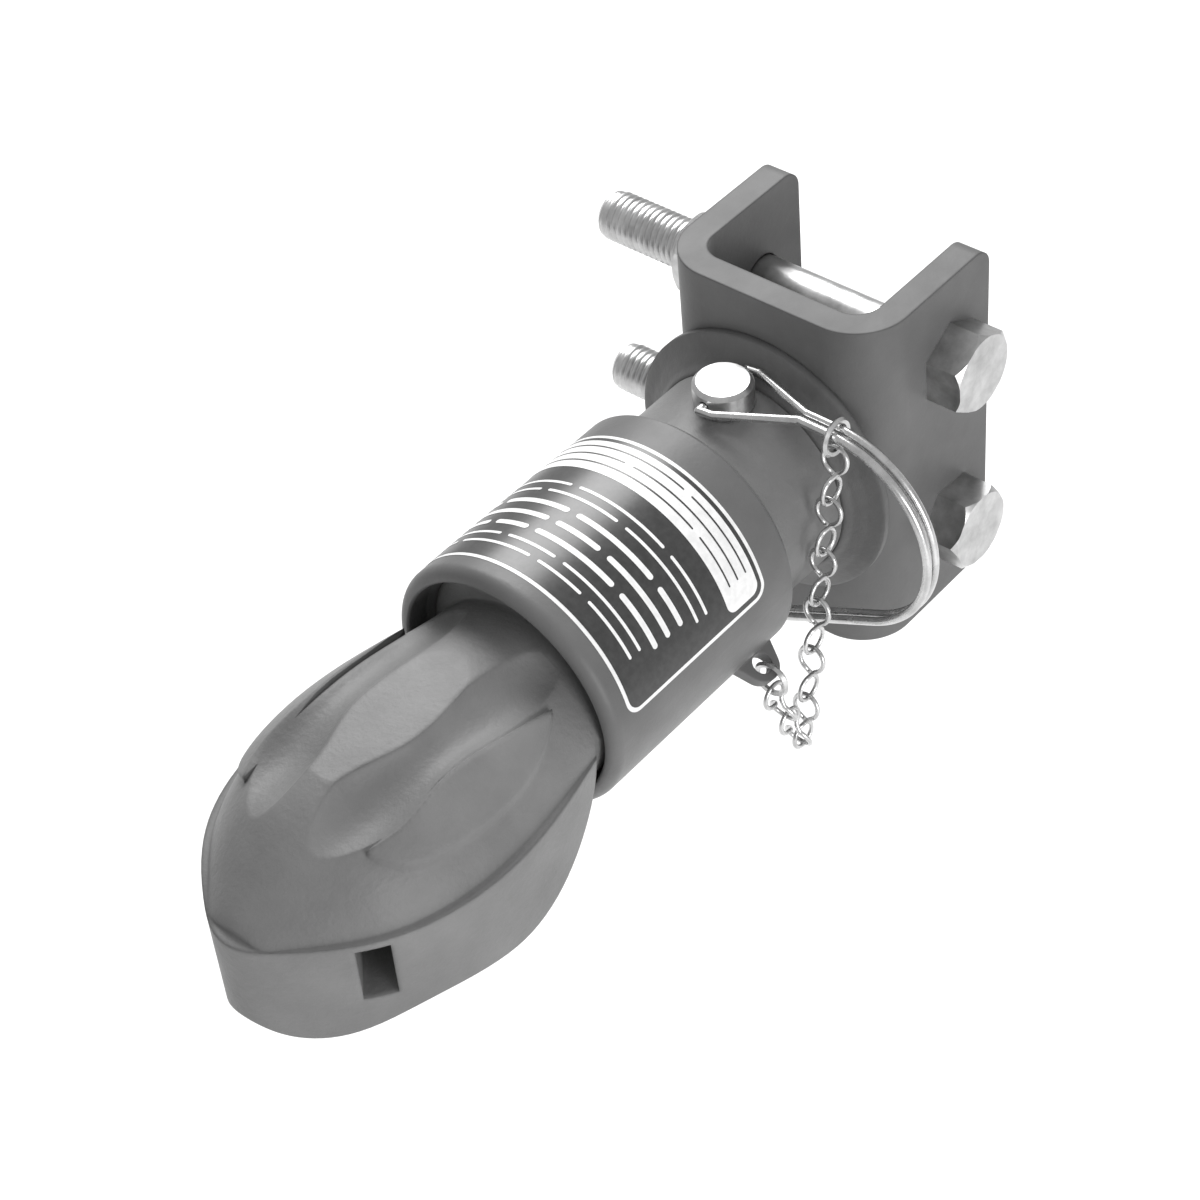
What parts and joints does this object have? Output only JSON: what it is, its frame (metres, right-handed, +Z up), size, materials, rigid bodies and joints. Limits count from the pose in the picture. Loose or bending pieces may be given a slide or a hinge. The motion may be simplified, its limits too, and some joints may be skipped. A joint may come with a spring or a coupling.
{
  "type": "trailer coupling head",
  "caption": "Channel-mounted trailer ball coupling head with a sliding locking collar, a hinged lower jaw, a through pin with wire lock and a keeper chain.",
  "frame": {"origin": "centre of the rear face of the channel web, on the axis of the round shank", "axes": "+X along the shank towards the nose, +Y to the bolt-head side, +Z up"},
  "size_m": [0.3057, 0.1728, 0.1359],
  "materials": {
    "casting_paint": "semi-gloss grey paint over a casting",
    "bracket_paint": "semi-gloss grey paint over plate",
    "zinc": "bright zinc plate"
  },
  "bodies": {
    "coupler": {"channel_bracket": "bracket_paint", "base_weld": "casting_paint", "coupler_body": "casting_paint", "jaw_pivot_pin": "casting_paint", "upper_bolt": "zinc", "upper_lock_washer": "zinc", "upper_nut": "zinc", "lower_bolt": "zinc", "lower_lock_washer": "zinc", "lower_nut": "zinc"},
    "collar": {"locking_collar": "casting_paint", "chain_ear_ring": "zinc", "chain_link_11": "zinc", "chain_link_12": "zinc", "chain_link_13": "zinc", "chain_link_14": "zinc"},
    "jaw": {"lower_jaw": "casting_paint"},
    "pin": {"safety_pin": "zinc", "chain_wire_ring": "zinc", "chain_link_01": "zinc", "chain_link_02": "zinc", "chain_link_03": "zinc", "chain_link_04": "zinc", "chain_link_05": "zinc", "chain_link_06": "zinc", "chain_link_07": "zinc", "chain_link_08": "zinc", "chain_link_09": "zinc", "chain_link_10": "zinc"},
    "bail": {"bail_wire": "zinc"}
  },
  "joints": [
    {"name": "collar_slide", "type": "slide", "parent": "coupler", "child": "collar", "axis": [-1, 0, 0], "range_m": [0, 0.022], "deforming": ["chain_ear_ring", "chain_link_11", "chain_link_12", "chain_link_13", "chain_link_14"]},
    {"name": "jaw_drop", "type": "hinge", "parent": "coupler", "child": "jaw", "pos_m": [0.0715, 0, -0.014], "axis": [0, 1, 0], "range_deg": [0, 20.01]},
    {"name": "pin_lift", "type": "slide", "parent": "coupler", "child": "pin", "axis": [0, 0, 1], "range_m": [0, 0.1288], "deforming": ["chain_wire_ring", "chain_link_01", "chain_link_02", "chain_link_03", "chain_link_04", "chain_link_05", "chain_link_06", "chain_link_07", "chain_link_08", "chain_link_09", "chain_link_10"]},
    {"name": "bail_swing", "type": "hinge", "parent": "pin", "child": "bail", "pos_m": [0.0288, 0, 0.0407], "axis": [1, 0, 0], "range_deg": [0, 166.1]}
  ],
  "couplings": [
    {"joint": "jaw_drop", "follows": "collar_slide", "rad_per_m": 15.867},
    {"joint": "pin_lift", "follows": "collar_slide", "ratio": 5.85},
    {"joint": "bail_swing", "follows": "collar_slide", "rad_per_m": 131.69}
  ]
}
